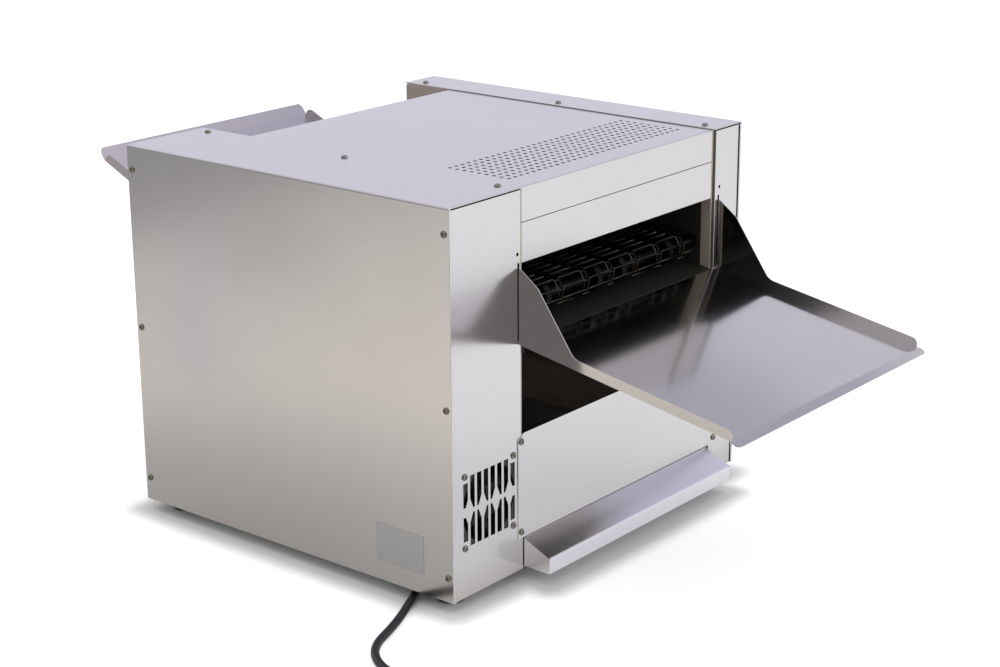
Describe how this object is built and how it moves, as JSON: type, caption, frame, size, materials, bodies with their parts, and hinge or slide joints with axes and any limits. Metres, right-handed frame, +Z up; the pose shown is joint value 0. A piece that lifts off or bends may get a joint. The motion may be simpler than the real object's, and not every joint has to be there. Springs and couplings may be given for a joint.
{
  "type": "conveyor toaster",
  "caption": "Counter-top conveyor toaster with a wire belt, hook-on trays, a sliding crumb tray, a fan vent and a mains cord.",
  "frame": {"origin": "centre of the toaster's own box at the height of the surface it stands on, cord left out", "axes": "+Z up, +Y to the discharge side, -Y to the operator's feed side, +X to the wide controls compartment"},
  "size_m": [0.7357, 0.8408, 0.394],
  "materials": {
    "stainless": "brushed stainless sheet, covers and panels",
    "tray_steel": "bright rolled stainless sheet, trays",
    "inner_steel": "heat-tinted stainless sheet inside the oven",
    "zinc_sheet": "zinc-plated steel sheet",
    "belt_wire": "drawn stainless wire",
    "shaft_steel": "ground steel bar",
    "chain_steel": "oiled roller-chain steel",
    "bronze": "sintered bronze",
    "quartz": "frosted quartz tube",
    "ceramic": "white steatite ceramic",
    "motor_casting": "grey painted gear case",
    "black_plastic": "moulded black nylon",
    "knob_plastic": "moulded black phenolic",
    "lamp_lens": "amber lens",
    "circuit_board": "green glass-fibre board",
    "plate_metal": "blank foil plate",
    "rubber": "black rubber",
    "cord_rubber": "black rubber-sheathed flex",
    "screw_steel": "zinc-plated pan-head screws"
  },
  "bodies": {
    "cabinet": {"base_pan": "zinc_sheet", "feet": "rubber", "right_inner_wall": "inner_steel", "left_inner_wall": "inner_steel", "right_side_cover": "stainless", "left_side_cover": "stainless", "top_panel": "stainless", "rear_header": "stainless", "front_header": "stainless", "right_rear_column": "stainless", "left_rear_column": "stainless", "lower_rear_panel": "stainless", "lower_front_panel": "stainless", "control_panel": "stainless", "left_front_column": "stainless", "discharge_chute": "inner_steel", "upper_reflector": "inner_steel", "heating_elements": "quartz", "element_holders": "ceramic", "belt_rails": "shaft_steel", "belt_wires": "belt_wire", "belt_links": "belt_wire", "shaft_bearings": "bronze", "drive_chain": "chain_steel", "motor_bracket": "zinc_sheet", "gear_motor": "motor_casting", "fan_frame": "black_plastic", "crumb_tray_rails": "inner_steel", "speed_control": "black_plastic", "heat_control": "black_plastic", "power_switch": "black_plastic", "pilot_lamp": "lamp_lens", "contactor": "black_plastic", "speed_board": "circuit_board", "terminal_block": "black_plastic", "thermal_cutout": "black_plastic", "rating_plate": "plate_metal", "cord_well": "zinc_sheet", "cord_gland": "black_plastic", "power_cord": "cord_rubber", "cord_coil": "cord_rubber", "power_plug": "cord_rubber", "cover_screws": "screw_steel", "rear_screws": "screw_steel"},
    "belt_drive": {"drive_shaft": "shaft_steel", "drive_sprockets": "shaft_steel", "chain_wheel": "chain_steel"},
    "belt_idler": {"idler_shaft": "shaft_steel", "idler_sprockets": "shaft_steel"},
    "motor_output": {"motor_shaft": "shaft_steel", "motor_wheel": "chain_steel"},
    "fan_rotor": {"fan_rotor": "black_plastic"},
    "speed_knob": {"speed_knob": "knob_plastic", "speed_spindle": "shaft_steel"},
    "heat_knob": {"heat_knob": "knob_plastic", "heat_spindle": "shaft_steel"},
    "power_rocker": {"switch_rocker": "knob_plastic"},
    "discharge_tray": {"discharge_tray": "tray_steel"},
    "feed_tray": {"feed_tray": "tray_steel"},
    "crumb_tray": {"crumb_tray": "stainless"}
  },
  "joints": [
    {"name": "belt_drive_spin", "type": "hinge", "parent": "cabinet", "child": "belt_drive", "pos_m": [0, 0.14692, 0.27], "axis": [-1, 0, 0], "continuous": true, "deforming": ["belt_wires", "belt_links", "drive_chain"]},
    {"name": "belt_idler_spin", "type": "hinge", "parent": "cabinet", "child": "belt_idler", "pos_m": [0, -0.22708, 0.27], "axis": [-1, 0, 0], "continuous": true},
    {"name": "motor_spin", "type": "hinge", "parent": "cabinet", "child": "motor_output", "pos_m": [0, 0.06437, 0.27], "axis": [-1, 0, 0], "continuous": true},
    {"name": "fan_spin", "type": "hinge", "parent": "cabinet", "child": "fan_rotor", "pos_m": [0.18185, 0.17192, 0.09745], "axis": [0, 1, 0], "continuous": true},
    {"name": "speed_knob_turn", "type": "hinge", "parent": "cabinet", "child": "speed_knob", "pos_m": [0.18375, -0.25008, 0.248], "axis": [0, 1, 0], "range_deg": [-135, 135]},
    {"name": "heat_knob_turn", "type": "hinge", "parent": "cabinet", "child": "heat_knob", "pos_m": [0.18375, -0.25008, 0.168], "axis": [0, 1, 0], "range_deg": [-60, 60]},
    {"name": "power_rocker_tilt", "type": "hinge", "parent": "cabinet", "child": "power_rocker", "pos_m": [0.18375, -0.24608, 0.318], "axis": [1, 0, 0], "range_deg": [0, 20]},
    {"name": "discharge_tray_lift", "type": "slide", "parent": "cabinet", "child": "discharge_tray", "axis": [0, 0, 1], "range_m": [0, 0.01]},
    {"name": "feed_tray_lift", "type": "slide", "parent": "cabinet", "child": "feed_tray", "axis": [0, 0, 1], "range_m": [0, 0.01]},
    {"name": "crumb_tray_slide", "type": "slide", "parent": "cabinet", "child": "crumb_tray", "axis": [0, 1, 0], "range_m": [0, 0.35]}
  ],
  "couplings": [
    {"joint": "belt_idler_spin", "follows": "belt_drive_spin", "ratio": 1},
    {"joint": "motor_spin", "follows": "belt_drive_spin", "ratio": 1}
  ]
}
